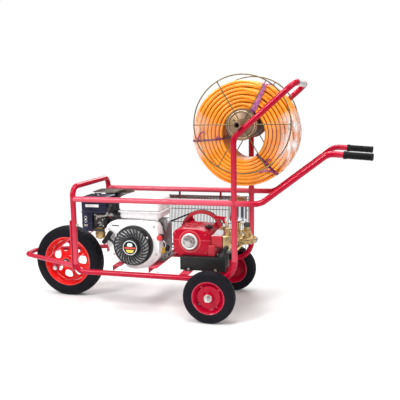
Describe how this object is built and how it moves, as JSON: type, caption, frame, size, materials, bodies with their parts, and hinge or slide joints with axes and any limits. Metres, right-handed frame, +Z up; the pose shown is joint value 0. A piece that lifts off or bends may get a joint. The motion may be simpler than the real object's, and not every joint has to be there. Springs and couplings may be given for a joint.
{
  "type": "power sprayer cart",
  "caption": "Push cart with a petrol engine that drives a plunger pump by belt, under a reel of spray hose.",
  "frame": {"origin": "centre of the bounding box on the ground", "axes": "+X towards the push handles, +Y towards the belt side, +Z up"},
  "size_m": [1.9001, 0.66, 1.1951],
  "materials": {
    "frame_red": "raspberry red gloss powder coat over welded steel tube",
    "rim_red": "bright red gloss enamel on a pressed steel rim",
    "pump_red": "red enamel over a fine cast surface",
    "tyre": "matt charcoal tyre rubber",
    "grip": "ribbed matt black rubber",
    "zinc": "bright zinc plate",
    "bronze_zinc": "olive-bronze passivated zinc plate",
    "hose": "smooth orange braided PVC hose",
    "white": "glossy white enamel on pressed steel",
    "black_plastic": "moulded black plastic with a light grain",
    "cast_grey": "die-cast aluminium",
    "dark_steel": "dark oiled and heat-blackened steel",
    "brass": "cast and machined brass",
    "chrome": "polished chrome plate",
    "belt": "matt black cord-backed rubber",
    "base_black": "black stove enamel",
    "switch_red": "moulded red plastic"
  },
  "bodies": {
    "cart": {"front_hoop": "frame_red", "lower_rail_left": "frame_red", "lower_rail_right": "frame_red", "upper_rail_left": "frame_red", "upper_rail_right": "frame_red", "reel_post_left": "frame_red", "reel_post_right": "frame_red", "handle_tube_left": "frame_red", "handle_tube_right": "frame_red", "engine_beam_front": "frame_red", "engine_beam_rear": "frame_red", "pump_beam_front": "frame_red", "axle_bracket": "frame_red", "front_fork": "frame_red", "pump_crankcase": "pump_red", "grip_left": "grip", "grip_right": "grip", "reel_top_bar": "zinc", "front_axle": "zinc", "rear_axle": "zinc", "axle_nut_left": "zinc", "axle_nut_right": "zinc", "belt_guard": "bronze_zinc", "fan_cover": "white", "fuel_tank": "white", "recoil_cover": "black_plastic", "air_cleaner": "black_plastic", "engine_block": "cast_grey", "muffler": "dark_steel", "carburettor": "brass", "pump_manifold": "brass", "sight_glass": "chrome", "air_chamber": "chrome", "drive_belt": "belt", "pump_base": "base_black"},
    "front_wheel": {"front_tyre": "tyre", "front_rim": "rim_red"},
    "rear_wheel_left": {"rear_tyre_left": "tyre", "rear_rim_left": "frame_red"},
    "rear_wheel_right": {"rear_tyre_right": "tyre", "rear_rim_right": "frame_red"},
    "hose_reel": {"reel_shaft": "dark_steel", "reel_drum": "bronze_zinc", "reel_flange_left": "bronze_zinc", "reel_flange_right": "bronze_zinc", "hose_coil_left": "hose", "hose_coil_right": "hose"},
    "engine_crank": {"engine_crankshaft": "dark_steel", "engine_pulley": "dark_steel"},
    "pump_crank": {"pump_crankshaft": "dark_steel", "pump_pulley": "pump_red"},
    "starter_grip": {"starter_handle": "black_plastic"},
    "throttle": {"throttle_lever": "cast_grey"},
    "choke": {"choke_lever": "black_plastic"},
    "fuel_tap": {"fuel_lever": "black_plastic"},
    "ignition_switch": {"engine_switch": "switch_red"},
    "tank_cap": {"fuel_cap": "white"},
    "pressure_regulator": {"regulator_knob": "base_black"},
    "relief_valve": {"relief_lever": "pump_red"},
    "outlet_cock": {"cock_lever": "brass"}
  },
  "joints": [
    {"name": "front_wheel_spin", "type": "hinge", "parent": "cart", "child": "front_wheel", "pos_m": [-0.692, 0, 0.198], "axis": [0, 1, 0], "continuous": true},
    {"name": "rear_wheel_left_spin", "type": "hinge", "parent": "cart", "child": "rear_wheel_left", "pos_m": [0.197, -0.272, 0.13], "axis": [0, 1, 0], "continuous": true},
    {"name": "rear_wheel_right_spin", "type": "hinge", "parent": "cart", "child": "rear_wheel_right", "pos_m": [0.197, 0.272, 0.13], "axis": [0, 1, 0], "continuous": true},
    {"name": "hose_reel_spin", "type": "hinge", "parent": "cart", "child": "hose_reel", "pos_m": [0.33618, 0, 0.95809], "axis": [0, 1, 0], "continuous": true},
    {"name": "pump_crank_spin", "type": "hinge", "parent": "cart", "child": "pump_crank", "pos_m": [0.057, 0.125, 0.366], "axis": [0, 1, 0], "continuous": true},
    {"name": "engine_crank_spin", "type": "hinge", "parent": "cart", "child": "engine_crank", "pos_m": [-0.226, 0.125, 0.346], "axis": [0, 1, 0], "continuous": true},
    {"name": "starter_pull", "type": "slide", "parent": "cart", "child": "starter_grip", "axis": [-0.8073, 0, 0.5902], "range_m": [0, 0.12]},
    {"name": "throttle_turn", "type": "hinge", "parent": "cart", "child": "throttle", "pos_m": [-0.385, -0.137, 0.502], "axis": [0, 1, 0], "range_deg": [0, 35]},
    {"name": "choke_turn", "type": "hinge", "parent": "cart", "child": "choke", "pos_m": [-0.452, -0.112, 0.47], "axis": [0, 1, 0], "range_deg": [0, 40]},
    {"name": "fuel_tap_turn", "type": "hinge", "parent": "cart", "child": "fuel_tap", "pos_m": [-0.446, -0.112, 0.437], "axis": [0, 1, 0], "range_deg": [0, 60]},
    {"name": "ignition_turn", "type": "hinge", "parent": "cart", "child": "ignition_switch", "pos_m": [-0.088, -0.1653, 0.388], "axis": [0, 1, 0], "range_deg": [0, 45]},
    {"name": "tank_cap_turn", "type": "hinge", "parent": "cart", "child": "tank_cap", "pos_m": [-0.222, -0.02, 0.5863], "axis": [0, 0, 1], "range_deg": [0, 90]},
    {"name": "regulator_turn", "type": "hinge", "parent": "cart", "child": "pressure_regulator", "pos_m": [0.345, -0.06, 0.4413], "axis": [0, 0, 1], "range_deg": [0, 720]},
    {"name": "relief_swing", "type": "hinge", "parent": "cart", "child": "relief_valve", "pos_m": [0.243, -0.06, 0.436], "axis": [0, 0, 1], "range_deg": [0, 90]},
    {"name": "outlet_cock_turn", "type": "hinge", "parent": "cart", "child": "outlet_cock", "pos_m": [0.33, -0.0965, 0.42], "axis": [0, 1, 0], "range_deg": [0, 90]}
  ],
  "couplings": [
    {"joint": "engine_crank_spin", "follows": "pump_crank_spin", "ratio": 4.2143}
  ]
}
